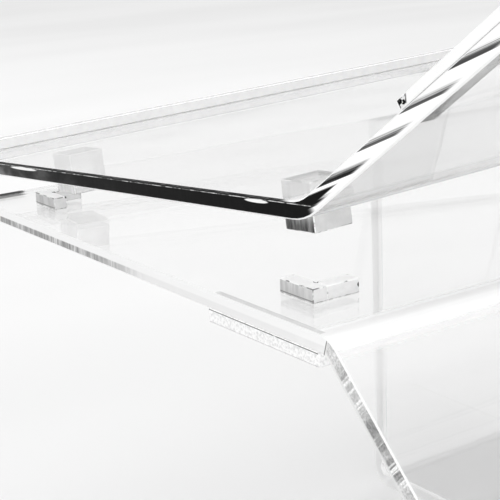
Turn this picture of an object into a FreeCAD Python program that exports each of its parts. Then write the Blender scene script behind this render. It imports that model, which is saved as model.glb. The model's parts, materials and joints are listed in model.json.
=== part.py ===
"""Two-part bible stand in clear acrylic: a riser table and a lift-off book rest.

Frame: +X to the reader's right, +Y away from the reader, +Z up, millimetres.
The origin is on the floor, in the middle of the stand's bounding box.

The riser is one bent sheet (flat top and a splayed back leg) that stands on its
own toe and on an L-shaped front leg sheet. Four corner stops, each made of two
butted strips, are cemented on its top. The book rest is a second bent sheet with
four square feet that drop inside the stops. It is held here with its back feet
raised, rocked about its own lower corner at the front right.
"""
import FreeCAD, Part
import os
import Sketcher
from math import cos, radians, sin, tan

DRIVING_SIZES = [
    # alias, value (mm or degrees), meaning
    ("sheet_thick", 6.0, "cast acrylic sheet of both bent sheets and the leg"),
    ("stand_width", 580.0, "width of the riser top and of the rest"),
    ("edge_chamfer", 0.5, "broken edge along the sheets"),
    ("strip_chamfer", 0.3, "broken edge on strips and feet"),
    ("riser_height", 211.0, "floor to the riser's top face"),
    ("riser_depth", 256.0, "front end to the virtual corner of the back bend"),
    ("riser_bend_inner", 5.0, "inner radius of the riser's back bend"),
    ("splay_angle", 45.0, "back leg below the horizontal"),
    ("leg_width", 110.0, "front leg sheet"),
    ("leg_foot_length", 120.0, "front face of the leg to the end of its foot"),
    ("leg_bend_inner", 5.0, "inner radius of the bend between leg and foot"),
    ("strip_width", 6.0, "strips cut for stops, ledge and edge strips"),
    ("strip_height", 5.0, "height of the stops, the ledge and the riser strips"),
    ("stop_arm_deep", 18.0, "outer length of a corner stop's arm along the depth"),
    ("stop_arm_wide", 19.5, "outer length of a corner stop's arm along the width"),
    ("stop_inset_depth", 29.0, "stop's outer corner to the riser's front and back lines"),
    ("stop_inset_side", 17.0, "stop's outer corner to the riser's side edge"),
    ("foot_size", 16.0, "square foot of the rest, in plan"),
    ("foot_height", 12.0, "foot of the rest"),
    ("foot_clearance", 1.0, "foot to the stop's inner faces"),
    ("seat_gap", 0.1, "feet to the riser's top when the rest is down"),
    ("rest_corner_inset", 10.0, "riser's back corner to the rest's virtual bend corner"),
    ("rest_overhang", 10.0, "rest's front end in front of the riser's front end"),
    ("rest_bend_inner", 18.0, "inner radius of the rest's bend"),
    ("rest_slope", 30.0, "back panel above the rest's flat"),
    ("rest_panel_length", 150.0, "virtual bend corner to the top of the back panel"),
    ("rest_rock_angle", 5.5, "how far the rest is rocked up from its seat"),
    ("rest_rock_turn", 26.5, "rocking axis turned from +X towards +Y"),
    ("riser_strip_start", 5.0, "back corner to the start of the strip under the top"),
    ("riser_strip_length", 60.0, "strip under each side edge of the riser's top"),
    ("panel_strip_start", 57.0, "bend corner to the start of the strip on the panel"),
    ("panel_strip_length", 62.0, "strip on each side edge of the back panel"),
    ("panel_strip_width", 9.5, "strip on each side edge of the back panel"),
    ("panel_strip_height", 3.0, "strip on each side edge of the back panel"),
]

doc = FreeCAD.newDocument("BibleStand")
sheet = doc.addObject("Spreadsheet::Sheet", "Sizes")
for row, (alias, value, meaning) in enumerate(DRIVING_SIZES, start=1):
    sheet.set(f"A{row}", alias)
    sheet.set(f"B{row}", str(value))
    sheet.set(f"C{row}", meaning)
    sheet.setAlias(f"B{row}", alias)
doc.recompute()
size = {alias: float(getattr(sheet, alias)) for alias, _, _ in DRIVING_SIZES}

# ---------------------------------------------------------------- raised rest
half_width = size["stand_width"] / 2
rest_under = size["riser_height"] + size["seat_gap"] + size["foot_height"]
rest_top = rest_under + size["sheet_thick"]
rest_front_y = -(size["riser_depth"] + size["rest_overhang"])

# The seated rest is rocked up about its own lower corner at the front right.
rock_corner = FreeCAD.Vector(half_width, rest_front_y, rest_under)
rock_turn = radians(size["rest_rock_turn"])
rock_axis = FreeCAD.Vector(cos(rock_turn), sin(rock_turn), 0)
raised = FreeCAD.Placement(
    FreeCAD.Vector(), FreeCAD.Rotation(rock_axis, size["rest_rock_angle"]), rock_corner
)

# ---------------------------------------------------------------- building blocks
finished = []


def finish_body(body, label, placement):
    body.Label = label
    body.Placement = placement
    finished.append(body)


def chamfer_edges(body, base, edge_names, size_name):
    chamfer = body.newObject("PartDesign::Chamfer", base.Name + "_chamfer")
    chamfer.Base = (base, edge_names)
    chamfer.setExpression("Size", f"Sizes.{size_name}")
    body.Tip = chamfer
    doc.recompute()


def cross_edges_at(shape, y, z):
    """Names of the edges that run along X through the point (y, z)."""
    found = []
    for number, edge in enumerate(shape.Edges, start=1):
        ends = [vertex.Point for vertex in edge.Vertexes]
        if len(ends) == 2 and all(abs(p.y - y) < 1e-6 and abs(p.z - z) < 1e-6 for p in ends):
            found.append(f"Edge{number}")
    return found


def side_faces(shape):
    """Names of the two faces at the ends of X."""
    return [
        f"Face{number}"
        for number, face in enumerate(shape.Faces, start=1)
        if abs(abs(face.normalAt(0, 0).x) - 1) < 1e-6
    ]


def bent_sheet(label, placement, width, flat, run, rise, flat_side, leaf_way, toe, inner_radius):
    """One sheet with a flat and a second leaf joined by a line bend.

    The profile is drawn in the YZ plane with the outside of the bend's virtual
    corner at the origin. The flat goes to flat_side (-1 or +1) along Y, and the
    leaf's far corner lies run and rise away from the origin, up or down by
    leaf_way. toe is "level" where the leaf is cut parallel to the flat and
    "square" where it is cut across. width, flat, run, rise and inner_radius are
    expressions of the sizes sheet.
    """
    body = doc.addObject("PartDesign::Body", label + "_body")
    yz_plane = next(plane for plane in body.Origin.OriginFeatures if plane.Role == "YZ_Plane")
    profile = body.newObject("Sketcher::SketchObject", label + "_profile")
    profile.AttachmentSupport = (yz_plane, [""])
    profile.MapMode = "FlatFace"

    thick = size["sheet_thick"]
    flat_length, run_length, rise_height = (amount(text) for text in (flat, run, rise))
    leaf_length = (run_length**2 + rise_height**2) ** 0.5
    along = FreeCAD.Vector(-flat_side * run_length, leaf_way * rise_height) / leaf_length
    inward = FreeCAD.Vector(flat_side * abs(along.y), leaf_way * abs(along.x))
    corner = FreeCAD.Vector()
    half_bend = (1 - abs(along.x)) / abs(along.y)
    inner_corner = FreeCAD.Vector(flat_side * thick * half_bend, leaf_way * thick)
    flat_end = FreeCAD.Vector(flat_side * flat_length, 0)
    flat_end_inner = flat_end + FreeCAD.Vector(0, leaf_way * thick)
    leaf_end = along * leaf_length
    leaf_end_inner = leaf_end + inward * thick
    if toe == "level":
        leaf_end_inner -= along * (thick * abs(along.x) / abs(along.y))

    outline = [flat_end, corner, leaf_end, leaf_end_inner, inner_corner, flat_end_inner]
    for here, there in zip(outline, outline[1:] + outline[:1]):
        profile.addGeometry(Part.LineSegment(here, there), False)
    FLAT_OUT, LEAF_OUT, TOE, LEAF_IN, FLAT_IN, FLAT_END = range(6)
    START, END = 1, 2
    for line in range(6):
        following = (line + 1) % 6
        profile.addConstraint(Sketcher.Constraint("Coincident", line, END, following, START))
    profile.addConstraint(Sketcher.Constraint("Coincident", FLAT_OUT, END, -1, START))
    profile.addConstraint(Sketcher.Constraint("Horizontal", FLAT_OUT))
    profile.addConstraint(Sketcher.Constraint("Horizontal", FLAT_IN))
    profile.addConstraint(Sketcher.Constraint("Vertical", FLAT_END))
    profile.addConstraint(Sketcher.Constraint("Parallel", LEAF_OUT, LEAF_IN))
    if toe == "level":
        profile.addConstraint(Sketcher.Constraint("Horizontal", TOE))
    else:
        profile.addConstraint(Sketcher.Constraint("Perpendicular", LEAF_OUT, TOE))

    def dimension(name, expression, *constraint):
        index = profile.addConstraint(Sketcher.Constraint(*constraint, amount(expression)))
        profile.renameConstraint(index, name)
        profile.setExpression(f"Constraints.{name}", expression)

    dimension("flat", flat, "Distance", FLAT_OUT)
    dimension("flat_thickness", "Sizes.sheet_thick", "Distance", FLAT_END)
    dimension("leaf_thickness", "Sizes.sheet_thick", "Distance", LEAF_IN, END, LEAF_OUT)
    if leaf_way > 0:
        dimension("rise", rise, "DistanceY", LEAF_OUT, START, LEAF_OUT, END)
    else:
        dimension("rise", rise, "DistanceY", LEAF_OUT, END, LEAF_OUT, START)
    if run_length == 0:
        profile.addConstraint(Sketcher.Constraint("Vertical", LEAF_OUT))
    elif flat_side < 0:
        dimension("run", run, "DistanceX", LEAF_OUT, START, LEAF_OUT, END)
    else:
        dimension("run", run, "DistanceX", LEAF_OUT, END, LEAF_OUT, START)
    doc.recompute()
    if not profile.FullyConstrained:
        raise RuntimeError(f"{label}: the profile is not fully constrained")

    pad = body.newObject("PartDesign::Pad", label + "_pad")
    pad.Profile = profile
    pad.SideType = "Symmetric"
    pad.setExpression("Length", width)
    doc.recompute()
    base = pad
    for place, point, radius in (
        ("outer", corner, f"{inner_radius} + Sizes.sheet_thick"),
        ("inner", inner_corner, inner_radius),
    ):
        bend = body.newObject("PartDesign::Fillet", f"{label}_{place}_bend")
        bend.Base = (base, cross_edges_at(base.Shape, point.x, point.y))
        bend.setExpression("Radius", radius)
        body.Tip = bend
        doc.recompute()
        base = bend
    chamfer_edges(body, base, side_faces(base.Shape), "edge_chamfer")
    finish_body(body, label, placement)


def amount(expression):
    """The number that an expression of the sizes sheet comes to."""
    value = sheet.evalExpression(expression)
    return float(getattr(value, "Value", value))


def bar(label, placement, length, width, height):
    """A square-cut strip or block with broken edges, in X, Y and Z."""
    body = doc.addObject("PartDesign::Body", label + "_body")
    block = body.newObject("PartDesign::AdditiveBox", label + "_block")
    block.setExpression("Length", length)
    block.setExpression("Width", width)
    block.setExpression("Height", height)
    doc.recompute()
    every_edge = [f"Edge{number}" for number in range(1, len(block.Shape.Edges) + 1)]
    chamfer_edges(body, block, every_edge, "strip_chamfer")
    finish_body(body, label, placement)


def at(x, y, z):
    return FreeCAD.Placement(FreeCAD.Vector(x, y, z), FreeCAD.Rotation())


# ---------------------------------------------------------------- riser
def make_riser():
    bent_sheet(
        "riser_top_sheet",
        at(0, 0, size["riser_height"]),
        width="Sizes.stand_width",
        flat="Sizes.riser_depth",
        run="Sizes.riser_height / tan(Sizes.splay_angle * 1 deg)",
        rise="Sizes.riser_height",
        flat_side=-1,
        leaf_way=-1,
        toe="level",
        inner_radius="Sizes.riser_bend_inner",
    )
    bent_sheet(
        "riser_leg_sheet",
        at(0, -size["riser_depth"], 0),
        width="Sizes.leg_width",
        flat="Sizes.leg_foot_length",
        run="0",
        rise="Sizes.riser_height - Sizes.sheet_thick",
        flat_side=1,
        leaf_way=1,
        toe="square",
        inner_radius="Sizes.leg_bend_inner",
    )
    under_top = size["riser_height"] - size["sheet_thick"] - size["strip_height"]
    strip_y = -(size["riser_strip_start"] + size["riser_strip_length"])
    for side, x in (("right", half_width - size["strip_width"]), ("left", -half_width)):
        bar(
            f"riser_edge_strip_{side}",
            at(x, strip_y, under_top),
            "Sizes.strip_width",
            "Sizes.riser_strip_length",
            "Sizes.strip_height",
        )


# ---------------------------------------------------------------- corner stops
def make_corner_stops():
    """Four L-shaped stops that open towards the middle of the riser's top.

    In each, the arm along the depth is the full length, and the arm along the
    width butts against its inner side.
    """
    outer_x = half_width - size["stop_inset_side"]
    back_y = -size["stop_inset_depth"]
    front_y = -(size["riser_depth"] - size["stop_inset_depth"])
    deep, wide = size["stop_arm_deep"], size["stop_arm_wide"] - size["strip_width"]
    strip = size["strip_width"]
    top = size["riser_height"]
    for side, x_way in (("right", 1), ("left", -1)):
        for end, corner_y, y_way in (("back", back_y, 1), ("front", front_y, -1)):
            long_x = x_way * outer_x - (strip if x_way > 0 else 0)
            long_y = corner_y - (deep if y_way > 0 else 0)
            bar(
                f"stop_{end}_{side}_long",
                at(long_x, long_y, top),
                "Sizes.strip_width",
                "Sizes.stop_arm_deep",
                "Sizes.strip_height",
            )
            short_x = x_way * (outer_x - strip) - (wide if x_way > 0 else 0)
            short_y = corner_y - (strip if y_way > 0 else 0)
            bar(
                f"stop_{end}_{side}_short",
                at(short_x, short_y, top),
                "Sizes.stop_arm_wide - Sizes.strip_width",
                "Sizes.strip_width",
                "Sizes.strip_height",
            )


# ---------------------------------------------------------------- book rest
def make_rest():
    half_slope = size["sheet_thick"] * tan(radians(size["rest_slope"] / 2))
    corner_y = -size["rest_corner_inset"] + half_slope
    bent_sheet(
        "rest_sheet",
        raised.multiply(at(0, corner_y, rest_under)),
        width="Sizes.stand_width",
        flat="Sizes.riser_depth + Sizes.rest_overhang - Sizes.rest_corner_inset"
        " + Sizes.sheet_thick * tan(Sizes.rest_slope / 2 * 1 deg)",
        run="Sizes.rest_panel_length * cos(Sizes.rest_slope * 1 deg)",
        rise="Sizes.rest_panel_length * sin(Sizes.rest_slope * 1 deg)",
        flat_side=-1,
        leaf_way=1,
        toe="square",
        inner_radius="Sizes.rest_bend_inner",
    )
    bar(
        "rest_front_ledge",
        raised.multiply(at(-half_width, rest_front_y, rest_top)),
        "Sizes.stand_width",
        "Sizes.strip_width",
        "Sizes.strip_height",
    )
    foot = size["foot_size"]
    inset_side = size["stop_inset_side"] + size["strip_width"] + size["foot_clearance"]
    inset_depth = size["stop_inset_depth"] + size["strip_width"] + size["foot_clearance"]
    for side, x in (("right", half_width - inset_side - foot), ("left", inset_side - half_width)):
        for end, y in (("back", -inset_depth - foot), ("front", inset_depth - size["riser_depth"])):
            bar(
                f"rest_foot_{end}_{side}",
                raised.multiply(at(x, y, rest_under - size["foot_height"])),
                "Sizes.foot_size",
                "Sizes.foot_size",
                "Sizes.foot_height",
            )
    slope = radians(size["rest_slope"])
    start = size["panel_strip_start"]
    strip_place = FreeCAD.Vector(
        0, -size["rest_corner_inset"] + start * cos(slope), rest_top + start * sin(slope)
    )
    panel_turn = FreeCAD.Rotation(FreeCAD.Vector(1, 0, 0), size["rest_slope"])
    for side, x in (("right", half_width - size["panel_strip_width"]), ("left", -half_width)):
        on_panel = FreeCAD.Placement(strip_place + FreeCAD.Vector(x, 0, 0), panel_turn)
        bar(
            f"rest_panel_strip_{side}",
            raised.multiply(on_panel),
            "Sizes.panel_strip_width",
            "Sizes.panel_strip_length",
            "Sizes.panel_strip_height",
        )


# ---------------------------------------------------------------- check and write
def centre_on_origin():
    """Moves the whole stand so that the origin is the middle of its box, on the floor."""
    box = FreeCAD.BoundBox()
    for body in finished:
        box.add(body.Shape.optimalBoundingBox(False, False))
    shift = FreeCAD.Vector(-box.Center.x, -box.Center.y, -box.ZMin)
    for body in finished:
        body.Placement = FreeCAD.Placement(shift, FreeCAD.Rotation()).multiply(body.Placement)
    return shift


def check_and_export():
    doc.recompute()
    for item in doc.Objects:
        if "Invalid" in item.State or "Error" in item.State:
            raise RuntimeError(f"{item.Label}: {item.State}")
    for body in finished:
        if body.Shape.isNull() or not body.Shape.isValid() or len(body.Shape.Solids) != 1:
            raise RuntimeError(f"{body.Label}: not one valid solid")
    os.makedirs("parts", exist_ok=True)
    for body in finished:
        body.Shape.exportStep(f"parts/{body.Label}.step")


make_riser()
make_corner_stops()
make_rest()
stand_shift = centre_on_origin()
check_and_export()
print("shift", [round(c, 4) for c in stand_shift])
print("rock corner", [round(c, 4) for c in rock_corner + stand_shift])
for body in finished:
    box = body.Shape.BoundBox
    print(
        f"{body.Label:26s} volume {body.Shape.Volume:11.1f}  "
        f"x {box.XMin:8.2f} {box.XMax:8.2f}  y {box.YMin:8.2f} {box.YMax:8.2f}  "
        f"z {box.ZMin:8.2f} {box.ZMax:8.2f}"
    )
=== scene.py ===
"""Looks of the clear acrylic bible stand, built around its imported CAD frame.

Metres, in the frame of the CAD: +X to the reader's right, +Y away, +Z up. The
CAD solids are kept as they are and get acrylic materials. The only object added
is the floor. What the cut edges reflect is painted into their materials, in the
part's own frame, so it stays in place when the view changes.
"""
import json
import math

import bpy
from mathutils import Matrix, Vector


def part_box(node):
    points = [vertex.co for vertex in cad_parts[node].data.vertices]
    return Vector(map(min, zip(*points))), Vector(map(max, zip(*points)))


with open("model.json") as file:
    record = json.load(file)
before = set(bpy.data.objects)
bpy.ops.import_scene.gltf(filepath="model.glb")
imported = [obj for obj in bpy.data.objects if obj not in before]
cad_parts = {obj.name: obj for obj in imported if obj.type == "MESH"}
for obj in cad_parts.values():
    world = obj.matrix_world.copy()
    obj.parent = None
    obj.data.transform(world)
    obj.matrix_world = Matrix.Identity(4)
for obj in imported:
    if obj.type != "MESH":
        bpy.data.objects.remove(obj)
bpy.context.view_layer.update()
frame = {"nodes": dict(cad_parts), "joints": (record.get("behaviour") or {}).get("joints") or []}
joint = frame["joints"][0]
scene = bpy.context.scene


# ------------------------------------------------------------ shader building
class Shader:
    """Small helper that adds and links nodes in one material or world."""

    def __init__(self, tree):
        self.tree = tree
        self.tree.nodes.clear()

    def add(self, kind, inputs=None, **settings):
        node = self.tree.nodes.new(kind)
        for name, value in settings.items():
            setattr(node, name, value)
        for key, value in (inputs or {}).items():
            socket = node.inputs[key]
            if isinstance(value, bpy.types.NodeSocket):
                self.tree.links.new(value, socket)
            else:
                socket.default_value = value
        return node

    def math(self, operation, a, b=0.0, c=0.0, clamp=False):
        node = self.add("ShaderNodeMath", {0: a, 1: b, 2: c}, operation=operation)
        node.use_clamp = clamp
        return node.outputs[0]

    def dot(self, vector, direction):
        node = self.add("ShaderNodeVectorMath", {0: vector, 1: tuple(direction)})
        node.operation = "DOT_PRODUCT"
        return node.outputs["Value"]

    def ramp(self, value, low, high, low_out=0.0, high_out=1.0):
        node = self.add(
            "ShaderNodeMapRange",
            {"Value": value, 1: low, 2: high, 3: low_out, 4: high_out},
        )
        node.interpolation_type = "SMOOTHSTEP"
        return node.outputs[0]

    def mix(self, factor, a, b):
        node = self.add("ShaderNodeMix", {0: factor, 2: a, 3: b})
        return node.outputs[0]

    def band(self, value, low, high, soft):
        """1 between low and high, fading to 0 over soft outside them."""
        rising = self.ramp(value, low - soft, low)
        falling = self.ramp(value, high, high + soft, 1.0, 0.0)
        return self.math("MULTIPLY", rising, falling)

    def noise(self, vector, scale, detail=3.0, rough=0.5):
        node = self.add(
            "ShaderNodeTexNoise",
            {"Vector": vector, "Scale": scale, "Detail": detail, "Roughness": rough},
        )
        return node.outputs["Fac"]

    def stretch(self, vector, directions, scales):
        """Coordinates along three directions, each with its own scale."""
        parts = [
            self.math("MULTIPLY", self.dot(vector, direction), scale)
            for direction, scale in zip(directions, scales)
        ]
        node = self.add("ShaderNodeCombineXYZ", {0: parts[0], 1: parts[1], 2: parts[2]})
        return node.outputs[0]


# ------------------------------------------------------------ places in the frame
ROCK = Matrix.Rotation(-math.radians(joint["range_deg"][0]), 3, Vector(joint["axis"]))
X, Y, Z = Vector((1, 0, 0)), Vector((0, 1, 0)), Vector((0, 0, 1))
REST_X, REST_Y, REST_Z = ROCK @ X, ROCK @ Y, ROCK @ Z
THICK = 0.006
SHEET_DEPTH = 0.256  # flat of the riser and of the rest, up to the virtual corner
PANEL_ANGLE = math.radians(30)
LEG_ANGLE = math.radians(-45)
LENSES = ((0.054, 0.079), (0.227, 0.240))  # painted highlight patches on the rest's side edge
LENS_HEIGHT, LENS_HALF_HEIGHT = 0.0044, 0.0006  # above the rest's underside
CHIP_LINE = (0.00105, 0.00085)  # below the rest's upper face
LEG_START_LEAN = 0.3  # how far the start of the leg's edge leans back as it rises
FRONT_ZONE = 0.026  # width of the painted shade at the riser's front end, at its right-hand corner
SLASH_LEAN, SLASH_START, SLASH_PERIOD = 4.6, 0.0375, 0.0227
PANEL_STRIP_HEIGHT = 0.29  # above the floor, at the near end of the panel's strip

IOR = 1.49
GAMMA = 2.2  # grey values are given as they appear, not as linear light
THROUGH_SHARE = 0.08  # part of the scattered light that goes on through the face
CLEAR_TINT = (0.996, 0.996, 0.996, 1)
ENDS_FIRST, ENDS_LAST = 0.3, 0.6  # how side-on a face is, where a bend's lines stop
SAW_MARKS, SAW_DEPTH = (60.0, 420.0, 60.0), 0.0001  # relief on strips and blocks


def slope(flat, up, angle):
    """Directions along and out of a leaf that leaves the flat at this angle."""
    along = flat * math.cos(angle) + up * math.sin(angle)
    return along, up * math.cos(angle) - flat * math.sin(angle)


riser_low, riser_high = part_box("riser_top_sheet")
RISER_TOP = riser_high.z
RISER_BEND = riser_low.y + SHEET_DEPTH
LEG_ALONG, LEG_OUT = slope(Y, Z, LEG_ANGLE)
pivot = Vector(joint["pos_m"])
REST_UNDER = pivot.dot(REST_Z)
REST_BEND = pivot.dot(REST_Y) + SHEET_DEPTH
PANEL_ALONG, PANEL_OUT = slope(REST_Y, REST_Z, PANEL_ANGLE)


# ------------------------------------------------------------ acrylic
class Acrylic(Shader):
    """Clear cast acrylic whose cut and bent places scatter some of the light.

    axes are the piece's own directions along its width, depth and thickness.
    Each place painted with over() replaces grey and weight where its mask is 1:
    weight is the share of light that scatters there, and grey is its lightness.
    """

    def __init__(self, name, axes):
        self.material = bpy.data.materials.new(name)
        self.material.use_nodes = True
        super().__init__(self.material.node_tree)
        self.wide, self.deep, self.thick = axes
        coords = self.add("ShaderNodeTexCoord")
        self.place, self.normal = coords.outputs["Object"], coords.outputs["Normal"]
        self.side = self.ramp(self.facing(self.wide), 0.90, 0.97)
        self.arris = self.band(self.facing(self.wide), 0.45, 0.86, 0.05)
        self.edge = self.both(
            *(self.ramp(self.facing(axis), 0.88, 0.94, 1.0, 0.0) for axis in axes)
        )
        self.grey, self.weight, self.rough = 0.9, 0.0, None
        self.relief = self.noise(self.place, 14.0, 1.0)
        self.polish()

    def facing(self, direction):
        return self.math("ABSOLUTE", self.dot(self.normal, direction))

    def at(self, direction):
        return self.dot(self.place, direction)

    def dots(self, points, radius):
        """1 within radius of any of the points."""
        nearest = None
        for point in points:
            node = self.add(
                "ShaderNodeVectorMath", {0: self.place, 1: tuple(point)}, operation="DISTANCE"
            )
            gap = node.outputs["Value"]
            nearest = gap if nearest is None else self.math("MINIMUM", nearest, gap)
        return self.ramp(nearest, radius * 0.8, radius * 1.1, 1.0, 0.0)

    def grain(self, scales, detail=3.0, rough=0.55, directions=None):
        """Noise with its own scale along width, depth and thickness."""
        directions = directions or (self.wide, self.deep, self.thick)
        return self.noise(self.stretch(self.place, directions, scales), 1.0, detail, rough)

    def polish(self):
        """Hairline scratches both ways and a faint haze on the polished faces."""
        hairs = self.ramp(self.grain((900.0, 26.0, 26.0), 2.0), 0.70, 0.78)
        cross_hairs = self.ramp(self.grain((18.0, 700.0, 18.0), 2.0), 0.71, 0.78)
        haze = self.ramp(self.noise(self.place, 9.0, 4.0), 0.3, 0.8, 0.004, 0.018)
        scratches = self.math("MAXIMUM", hairs, cross_hairs)
        self.rough = self.math("MULTIPLY_ADD", scratches, 0.06, haze)

    def over(self, mask, grey, weight, rough=None):
        self.grey = self.mix(mask, self.grey, grey)
        self.weight = self.mix(mask, self.weight, weight)
        if rough is not None:
            self.rough = self.mix(mask, self.rough, rough)

    def both(self, *masks):
        """1 where all of the masks are 1."""
        result = masks[0]
        for mask in masks[1:]:
            result = self.math("MULTIPLY", result, mask)
        return result

    def off_sides(self):
        """1 on the faces that do not look sideways, so on all but the side edges."""
        return self.ramp(self.facing(self.wide), ENDS_FIRST, ENDS_LAST, 1.0, 0.0)

    def finish(self, marks, depth=0.00025):
        """Closes the material; marks is the relief of the saw on the cut faces."""
        cut = self.add(
            "ShaderNodeBump", {"Strength": 0.5, "Distance": depth, "Height": marks}
        )
        bump = self.add(
            "ShaderNodeBump",
            {
                "Strength": 0.12,
                "Distance": 0.0008,
                "Height": self.relief,
                "Normal": cut.outputs[0],
            },
        )
        clear = self.add(
            "ShaderNodeBsdfPrincipled",
            {
                "Base Color": CLEAR_TINT,
                "Roughness": self.rough,
                "IOR": IOR,
                "Transmission Weight": 1.0,
                "Normal": bump.outputs[0],
            },
        )
        light = self.math("POWER", self.grey, GAMMA)
        shade = self.add("ShaderNodeCombineColor", {0: light, 1: light, 2: light})
        scatter = self.add(
            "ShaderNodeBsdfPrincipled",
            {
                "Base Color": shade.outputs[0],
                "Roughness": 0.35,
                "Specular IOR Level": 0.06,
                "Normal": bump.outputs[0],
            },
        )
        through = self.add(
            "ShaderNodeBsdfTranslucent", {"Color": shade.outputs[0], "Normal": bump.outputs[0]}
        )
        frosted = self.add(
            "ShaderNodeMixShader", {0: THROUGH_SHARE, 1: scatter.outputs[0], 2: through.outputs[0]}
        )
        surface = self.add(
            "ShaderNodeMixShader",
            {0: self.weight, 1: clear.outputs[0], 2: frosted.outputs[0]},
        )
        self.add("ShaderNodeOutputMaterial", {"Surface": surface.outputs[0]})
        return self.material


def riser_sheet_material():
    s = Acrylic("acrylic_riser_top", (X, Y, Z))
    y, z = s.at(Y), s.at(Z)
    # saw marks across the side edges, close together and in broader groups
    fine = s.grain((1.0, 640.0, 60.0), 5.0, 0.62)
    broad = s.grain((1.0, 75.0, 12.0), 3.0)
    marks = s.math("MULTIPLY_ADD", broad, 0.45, s.math("MULTIPLY", fine, 0.55))

    # flat's side edge: painted light, a light upper band, and stripes that fade towards the bend
    lower = s.ramp(z, RISER_TOP - 0.0034, RISER_TOP - 0.0028, 1.0, 0.0)
    stripes = s.ramp(marks, 0.40, 0.62, 0.56, 0.90)
    towards_front = s.ramp(y, RISER_BEND - 0.15, RISER_BEND - 0.10, 1.0, 0.0)
    striped = s.mix(towards_front, 0.93, stripes)
    flat_grey = s.mix(lower, 0.97, striped)
    s.over(s.side, flat_grey, 0.95, 0.12)
    # painted highlight along the side arrises
    s.over(s.arris, 0.94, 0.95)

    # splayed leg's side edge: grey, with light marks straight across it
    across = s.grain((1.0, 560.0, 8.0), 4.0, 0.6, (X, LEG_ALONG, LEG_OUT))
    groups = s.grain((1.0, 85.0, 5.0), 2.0, 0.5, (X, LEG_ALONG, LEG_OUT))
    out = s.at(LEG_OUT)
    leg_face = LEG_OUT.dot(Vector((0, RISER_BEND, RISER_TOP)))
    leg_grey = s.mix(s.ramp(groups, 0.36, 0.56), 0.55, 0.80)
    leg_grey = s.mix(s.ramp(across, 0.48, 0.60), leg_grey, 0.97)
    tooth = s.grain((1.0, 1500.0, 1500.0), 3.0, 0.7, (X, LEG_ALONG, LEG_OUT))
    leg_grey = s.math("MULTIPLY_ADD", s.ramp(tooth, 0.3, 0.7, -0.5, 0.5), 0.22, leg_grey)
    inner_light = s.ramp(out, leg_face - 0.0050, leg_face - 0.0040, 1.0, 0.0)
    leg_grey = s.mix(inner_light, leg_grey, 0.92)
    # the leg's edge starts at a leaning grey line
    leg_start = RISER_BEND - 0.0005 - LEG_START_LEAN * RISER_TOP
    leaning = s.math("MULTIPLY_ADD", z, -LEG_START_LEAN, y)
    on_leg = s.ramp(leaning, leg_start, leg_start + 0.0006)
    start_line = s.band(leaning, leg_start - 0.0002, leg_start, 0.0002)
    s.over(s.both(s.side, start_line), 0.45, 1.0)
    s.over(s.both(s.side, on_leg), leg_grey, 0.9, 0.14)

    # line bend: painted highlight, a light band with fine lines along it
    bend_along = LEG_ALONG.dot(Vector((0, RISER_BEND, RISER_TOP)))
    curved = s.both(
        s.band(y, RISER_BEND - 0.007, RISER_BEND + 0.0015, 0.003),
        s.ramp(z, RISER_TOP - 0.010, RISER_TOP - 0.007),
        s.off_sides(),
    )
    lines = s.grain((1.5, 520.0, 520.0), 2.0)
    s.over(curved, s.ramp(lines, 0.40, 0.62, 0.90, 0.98), 0.85, 0.05)

    # the light of the bend runs on a little way down the leg
    below = s.both(
        s.band(s.at(LEG_ALONG), bend_along + 0.004, bend_along + 0.012, 0.016),
        s.off_sides(),
    )
    s.over(below, 1.0, s.math("MAXIMUM", s.weight, 0.10), 0.05)

    # pale patch over each edge strip: painted light that covers a dark band of shade
    strip_low, strip_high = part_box("riser_edge_strip_right")
    strip_light_patch = s.both(
        s.ramp(s.dot(s.normal, Z), 0.9, 0.97),
        s.ramp(s.math("ABSOLUTE", s.at(X)), strip_high.x - 0.0030, strip_high.x - 0.0024),
        s.band(y, strip_low.y + 0.0038, strip_high.y, 0.0006),
    )
    s.over(strip_light_patch, 0.92, 0.6, 0.05)

    # front end: painted shade, black at its right-hand corner only, on the end and 5 mm in
    front_end = RISER_BEND - SHEET_DEPTH
    front = s.both(
        s.ramp(s.facing(Y), 0.92, 0.98),
        s.ramp(y, front_end + 0.001, front_end + 0.002, 1.0, 0.0),
    )
    behind = s.both(
        s.off_sides(),
        s.ramp(y, front_end + 0.0044, front_end + 0.0050, 1.0, 0.0),
    )
    front = s.math("MAXIMUM", front, behind)
    right_corner = s.ramp(s.at(X), riser_high.x - FRONT_ZONE, riser_high.x - FRONT_ZONE + 0.004)
    front = s.both(front, right_corner)
    s.over(front, s.ramp(s.grain((80.0, 1.0, 30.0), 3.0), 0.3, 0.7, 0.0, 0.10), 1.0, 0.1)
    return s.finish(s.both(marks, s.side))


def leg_material():
    s = Acrylic("acrylic_front_leg", (X, Y, Z))
    marks = s.grain((1.0, 90.0, 90.0), 4.0)
    lines = s.grain((1.0, 4.0, 640.0), 3.0)
    # painted light: near-white side edges and arrises
    s.over(s.side, s.ramp(lines, 0.35, 0.65, 0.97, 1.0), 1.0, 0.1)
    s.over(s.arris, 1.0, 1.0)
    # painted light: the foot's underside is near white where it lies on the table
    lit_underside = s.both(
        s.ramp(s.dot(s.normal, Z), -0.9, -0.97), s.ramp(s.at(Z), 0.001, 0.002, 1.0, 0.0)
    )
    s.over(lit_underside, s.ramp(marks, 0.3, 0.7, 0.95, 1.0), 0.9, 0.2)
    # painted light: a pale band along the right-hand side only
    leg_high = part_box("riser_leg_sheet")[1]
    s.over(s.ramp(s.at(X), leg_high.x - 0.0034, leg_high.x - 0.0026), 1.0, 0.75, 0.1)
    return s.finish(s.both(marks, s.side))


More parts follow.
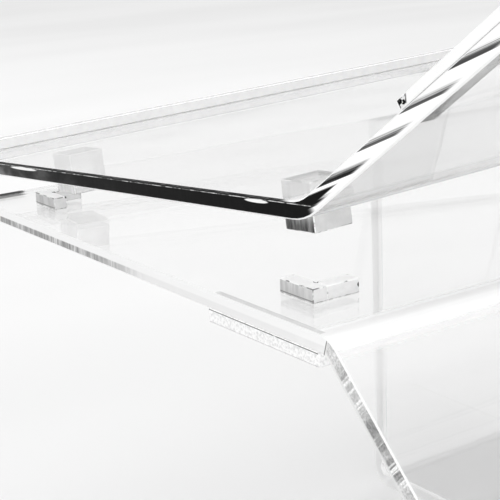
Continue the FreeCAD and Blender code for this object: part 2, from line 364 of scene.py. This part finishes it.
def rest_sheet_material():
    s = Acrylic("acrylic_rest", (REST_X, REST_Y, REST_Z))
    u, v = s.at(REST_Y), s.at(REST_Z)
    # the flat's polished side edge looks into the length of the sheet: painted shade, dark,
    # lighter and mottled towards the front
    cloud = s.grain((1.0, 60.0, 160.0), 3.0)
    near_front = s.ramp(u, REST_BEND - SHEET_DEPTH, REST_BEND - 0.10, 1.0, 0.0)
    dark = s.ramp(cloud, 0.35, 0.75, 0.0, 0.09)
    mottle = s.mix(near_front, dark, s.ramp(cloud, 0.3, 0.7, 0.24, 0.56))
    s.over(s.side, mottle, 1.0, 0.08)
    # painted highlight: a fine, broken light line a little below its upper arris
    glint_pattern = s.ramp(s.grain((1.0, 190.0, 30.0), 5.0, 0.75), 0.36, 0.60)
    glint_line = s.band(v, *(REST_UNDER + THICK - drop for drop in CHIP_LINE), 0.00008)
    s.over(s.both(s.side, glint_line), s.mix(glint_pattern, 0.25, 0.85), 1.0)
    # long lens-shaped painted highlights under that line
    lens = None
    for start, end in LENSES:
        middle, half = REST_BEND - SHEET_DEPTH + (start + end) / 2, (end - start) / 2
        run = s.math("DIVIDE", s.math("SUBTRACT", u, middle), half)
        height = s.math("SUBTRACT", v, REST_UNDER + LENS_HEIGHT)
        rise = s.math("DIVIDE", height, LENS_HALF_HEIGHT)
        round_off = s.math("ADD", s.math("MULTIPLY", run, run), s.math("MULTIPLY", rise, rise))
        spot = s.ramp(round_off, 0.7, 1.2, 1.0, 0.0)
        lens = spot if lens is None else s.math("MAXIMUM", lens, spot)
    s.over(s.both(s.side, lens), 0.97, 1.0)

    # beyond the bend the panel's edge gets a painted reflection of the flat, in regular leaning
    # slashes
    corner = pivot + REST_Y * SHEET_DEPTH
    along = s.math("SUBTRACT", s.at(PANEL_ALONG), corner.dot(PANEL_ALONG))
    across = s.math("SUBTRACT", s.at(PANEL_OUT), corner.dot(PANEL_OUT))
    lean = s.math("MULTIPLY_ADD", across, SLASH_LEAN, along)
    place = s.add("ShaderNodeCombineXYZ", {0: lean, 1: across, 2: 0.0}).outputs[0]
    threads = s.noise(s.stretch(place, (X, Y, Z), (900.0, 60.0, 1.0)), 1.0, 3.0, 0.6)
    wander = s.noise(s.stretch(place, (X, Y, Z), (40.0, 90.0, 1.0)), 1.0)
    drift = s.math("MULTIPLY_ADD", wander, 0.004, lean)
    # turn runs from 0 to 1 over each slash and the light that follows it
    turn = s.math("SUBTRACT", drift, SLASH_START)
    turn = s.math("FRACT", s.math("DIVIDE", turn, SLASH_PERIOD))
    fade = s.mix(s.ramp(lean, 0.052, 0.056), s.ramp(turn, 0.16, 0.52), s.ramp(turn, 0.02, 0.50))
    threads = s.ramp(threads, 0.36, 0.60, -0.55, 0.45)
    threaded = s.math("MULTIPLY_ADD", threads, s.math("SUBTRACT", 1.0, fade), fade)
    first = s.ramp(lean, 0.046, 0.056, 0.02, 0.30)
    slash = s.mix(s.ramp(threaded, 0.0, 1.0), first, 1.0)
    slash = s.mix(s.ramp(turn, 0.965, 0.99), slash, first)
    slash = s.mix(s.ramp(across, 0.0004, 0.0014, 1.0, 0.0), slash, 0.99)
    on_panel = s.math(
        "MAXIMUM",
        s.ramp(drift, 0.030, 0.033),
        s.both(s.ramp(across, 0.0014, 0.0019, 1.0, 0.0), s.ramp(along, 0.004, 0.009)),
    )
    on_panel = s.both(on_panel, s.ramp(along, 0.001, 0.003))
    s.over(s.both(s.side, on_panel), slash, 1.0, 0.06)
    # painted light and shade on the arrises: white along the flat's upper arris, broken dark grey
    # elsewhere
    upper_side = s.ramp(s.dot(s.normal, REST_Z), 0.4, 0.6)
    on_flat = s.ramp(u, REST_BEND - 0.012, REST_BEND - 0.004, 1.0, 0.0)
    s.over(s.arris, s.mix(s.both(upper_side, on_flat), 0.99, s.mix(glint_pattern, 0.30, 0.12)), 0.95)

    # line bend: painted highlight, a light band with fine lines along it
    curved = s.both(
        s.band(u, REST_BEND - 0.006, REST_BEND + 0.006, 0.004),
        s.off_sides(),
    )
    lines = s.grain((1.5, 420.0, 420.0), 2.0)
    s.over(curved, s.ramp(lines, 0.38, 0.60, 0.90, 1.0), 0.35, 0.05)
    return s.finish(s.both(s.grain((1.0, 500.0, 60.0), 3.0), s.side), 0.00008)


def strip_material(name, axes, cemented, light=1.0, cut=0.84, weight=0.9, cut_low=None, line=0.52):
    """Strips and blocks are sawn all round; the cut across the width is painted darkest, as shade.

    cemented is the direction of the face that is glued down and stays clear.
    light is the lightness of the faces, cut that of the cuts, and line that of
    the darkest spots along the arrises. cut_low streaks the bottom of the cuts;
    that zone is level and is set by the lowest point of the right back foot.
    """
    s = Acrylic(name, axes)
    cuts = s.grain(SAW_MARKS, 4.0, 0.6)
    clouds = s.grain((170.0, 170.0, 170.0), 4.0, 0.6)
    s.over(1.0, s.ramp(clouds, 0.3, 0.7, light - 0.05, light), weight, 0.16)
    cut_grey = s.ramp(cuts, 0.34, 0.66, cut - 0.05, cut + 0.05)
    if cut_low is not None:
        foot_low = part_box("rest_foot_back_right")[0]
        streaks = s.grain((1.0, 520.0, 90.0), 4.0, 0.65)
        streaks = s.ramp(streaks, 0.3, 0.7, cut_low - 0.15, cut_low + 0.15)
        low_zone = s.ramp(s.at(Z), foot_low.z + 0.002, foot_low.z + 0.009, 1.0, 0.0)
        cut_grey = s.mix(low_zone, cut_grey, streaks)
    s.over(s.side, cut_grey, min(1.0, weight + 0.1), 0.2)
    s.over(s.edge, s.ramp(clouds, 0.42, 0.54, line, 1.0), 1.0)
    s.over(s.ramp(s.dot(s.normal, cemented), 0.8, 0.9), 1.0, 0.0)
    return s


def stop_material():
    """Corner stops; the cement left small dark blisters at their upper corners."""
    s = strip_material("acrylic_stop", (X, Y, Z), -Z, light=1.0, cut=0.86)
    points = []
    for end in ("back", "front"):
        for side in ("right", "left"):
            long_low, long_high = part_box(f"stop_{end}_{side}_long")
            short_low, short_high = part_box(f"stop_{end}_{side}_short")
            outer_y = short_high.y if end == "back" else short_low.y
            inner_y = short_low.y if end == "back" else short_high.y
            far_y = long_low.y if end == "back" else long_high.y
            joint_x = short_high.x if side == "right" else short_low.x
            far_x = short_low.x if side == "right" else short_high.x
            top = long_high.z
            points += [
                (joint_x, inner_y, top),
                (joint_x, far_y, top),
                (far_x, inner_y, top),
                (far_x, outer_y, top - 0.0022),
            ]
    # painted light: the top faces are full white
    s.over(s.ramp(s.dot(s.normal, Z), 0.8, 0.9), 1.0, 1.0)
    s.over(s.dots(points, 0.0009), 0.03, 1.0)
    z = s.at(Z)
    foot_line = s.band(z, RISER_TOP + 0.0006, RISER_TOP + 0.0009, 0.0001)
    s.over(s.both(s.side, foot_line), 0.60, 1.0)
    return s.finish(s.grain(SAW_MARKS, 4.0, 0.6), SAW_DEPTH)


def panel_strip_material():
    """Its sides are bright; its cemented face and its sawn ends look dark."""
    s = Acrylic("acrylic_panel_strip", (REST_X, PANEL_ALONG, PANEL_OUT))
    blotches = s.ramp(s.grain((240.0, 70.0, 70.0), 4.0, 0.6), 0.36, 0.64, 0.34, 0.66)
    s.over(1.0, 1.0, 0.95, 0.1)
    under = s.ramp(s.dot(s.normal, PANEL_OUT), -0.9, -0.97)
    s.over(under, blotches, 1.0, 0.1)
    strip_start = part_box("rest_panel_strip_right")[0]
    start = Vector((strip_start.x, strip_start.y, PANEL_STRIP_HEIGHT)).dot(REST_Y)
    near_end = s.ramp(s.at(REST_Y), start + 0.003, start + 0.004, 1.0, 0.0)
    specks = s.ramp(s.grain((700.0, 700.0, 700.0), 2.0), 0.50, 0.56, 0.02, 0.9)
    s.over(s.both(s.side, near_end), specks, 1.0)
    ends = s.ramp(s.facing(PANEL_ALONG), 0.8, 0.9)
    s.over(ends, s.ramp(s.grain((700.0, 700.0, 700.0), 2.0), 0.45, 0.60, 0.02, 0.9), 1.0)
    return s.finish(blotches, SAW_DEPTH)


def edge_strip_material():
    """Frosted strip under the riser's edge, with dark broken lines along its arrises."""
    s = Acrylic("acrylic_edge_strip", (X, Y, Z))
    z = s.at(Z)
    low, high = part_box("riser_edge_strip_right")
    frost = s.grain((900.0, 900.0, 900.0), 4.0, 0.7)
    s.over(1.0, s.ramp(frost, 0.38, 0.56, 0.88, 1.0), 0.9, 0.3)
    outermost = s.ramp(s.math("ABSOLUTE", s.at(X)), high.x - 0.002, high.x - 0.001)
    outward = s.both(s.side, outermost)
    breaks = s.ramp(s.grain((1.0, 160.0, 1.0), 5.0, 0.8), 0.36, 0.44)
    upper = s.ramp(z, high.z - 0.0007, high.z - 0.0004)
    lower = s.ramp(z, low.z + 0.0002, low.z + 0.0005, 1.0, 0.0)
    s.over(s.both(outward, upper, breaks), 0.12, 1.0)
    s.over(s.both(outward, lower), 0.30, 1.0)
    return s.finish(frost)


def rest_strip_material(name, cemented, **looks):
    """A strip or foot of the book rest, with nothing more painted on it."""
    s = strip_material(name, (REST_X, REST_Y, REST_Z), cemented, **looks)
    return s.finish(s.grain(SAW_MARKS, 4.0, 0.6), SAW_DEPTH)


MATERIALS = {
    "riser_top_sheet": riser_sheet_material(),
    "rest_sheet": rest_sheet_material(),
    "riser_leg_sheet": leg_material(),
    "stop": stop_material(),
    "rest_foot_back": rest_strip_material(
        "acrylic_back_foot", REST_Z, light=0.88, cut=0.82, cut_low=0.42
    ),
    "rest_foot_front": rest_strip_material(
        "acrylic_front_foot", REST_Z, light=1.0, cut=1.0, weight=0.4, line=0.95
    ),
    "rest_front_ledge": rest_strip_material(
        "acrylic_ledge", -REST_Z, light=1.0, cut=1.0, weight=0.32, line=0.96
    ),
    "rest_panel_strip": panel_strip_material(),
    "riser_edge_strip": edge_strip_material(),
}
for name, node in frame["nodes"].items():
    kind = next(kind for kind in MATERIALS if name.startswith(kind))
    node.data.materials.clear()
    node.data.materials.append(MATERIALS[kind])

# ------------------------------------------------------------ studio
floor_material = bpy.data.materials.new("floor_paper")
floor_material.use_nodes = True
s = Shader(floor_material.node_tree)
coords = s.add("ShaderNodeTexCoord").outputs["Object"]
grain = s.noise(coords, 240.0, 4.0)
# painted light on the floor: lighter away from the stand, with soft streaks of light and shade
away = s.ramp(s.dot(coords, Vector((-0.8, -0.6, 0))), -0.4, 1.5, 0.775, 0.87)
streaks = s.noise(s.stretch(coords, (X, Y, Z), (0.7, 2.6, 1.0)), 1.0, 2.0)
shade = s.math("MULTIPLY", away, s.ramp(streaks, 0.3, 0.7, 0.97, 1.02))
colour = s.add("ShaderNodeCombineColor", {0: shade, 1: shade, 2: shade})
paper_bump = s.add("ShaderNodeBump", {"Strength": 0.05, "Distance": 0.0004, "Height": grain})
paper = s.add(
    "ShaderNodeBsdfPrincipled",
    {"Base Color": colour.outputs[0], "Roughness": 0.85, "Normal": paper_bump.outputs[0]},
)
s.add("ShaderNodeOutputMaterial", {"Surface": paper.outputs[0]})
FLOOR_SIZE, FLOOR_DROP = 16.0, 0.0004  # the floor lies just below the stand's feet
bpy.ops.mesh.primitive_plane_add(size=FLOOR_SIZE, location=(0, 0, -FLOOR_DROP))
floor = bpy.context.object
floor.name = "floor"
floor.data.materials.append(floor_material)

world = bpy.data.worlds.new("studio")
scene.world = world
world.use_nodes = True
w = Shader(world.node_tree)
direction = w.add("ShaderNodeTexCoord").outputs["Generated"]
height = w.dot(direction, Z)
soft = w.noise(w.stretch(direction, (X, Y, Z), (1.6, 1.6, 7.0)), 1.0, 2.0)
sky = w.ramp(height, -0.1, 0.5, 0.86, 0.92)
level = w.math("MULTIPLY", sky, w.ramp(soft, 0.35, 0.65, 0.95, 1.03))
background = w.add("ShaderNodeBackground", {"Strength": level})
background.inputs["Color"].default_value = (1, 1, 1, 1)
w.add("ShaderNodeOutputWorld", {"Surface": background.outputs[0]})


def area_light(name, location, target, size, power):
    data = bpy.data.lights.new(name, "AREA")
    data.shape = "RECTANGLE"
    data.size, data.size_y = size
    data.energy = power
    data.use_shadow = False  # else the clear stand throws dark shapes
    light = bpy.data.objects.new(name, data)
    scene.collection.objects.link(light)
    light.location = location
    light.visible_glossy = light.visible_transmission = False
    aim = Vector(target) - Vector(location)
    light.rotation_euler = aim.to_track_quat("-Z", "Y").to_euler()


KEY_WATTS, FILL_WATTS, SIDE_WATTS = 13, 5, 26
area_light("key", (-1.2, 0.6, 2.2), (0, 0, 0.2), (1.6, 1.6), KEY_WATTS)
area_light("fill", (0.6, -2.0, 1.6), (0, 0, 0.2), (1.8, 1.0), FILL_WATTS)
area_light("side", (1.4, 1.75, 1.7), (0.1, 0, 0.2), (1.8, 1.2), SIDE_WATTS)

# ------------------------------------------------------------ camera
SENSOR_MM, LENS_MM = 36.0, 94.157
CAMERA_PLACE = (0.51728, 0.31809, 0.34066)
HEADING = math.atan2(-0.79069, -0.55184)
DOWN = math.asin(0.26509)
ROLL = math.radians(2.392)
camera_data = bpy.data.cameras.new("camera")
camera_data.sensor_width = SENSOR_MM
camera_data.lens = LENS_MM
camera_data.clip_start = 0.01
camera = bpy.data.objects.new("camera", camera_data)
scene.collection.objects.link(camera)
camera.location = CAMERA_PLACE
turned = Matrix.Rotation(HEADING - math.pi / 2, 3, "Z")
looking = turned @ Matrix.Rotation(math.pi / 2 - DOWN, 3, "X")
camera.rotation_euler = (looking @ Matrix.Rotation(-ROLL, 3, "Z")).to_euler()
scene.camera = camera
scene.view_settings.view_transform = "Standard"
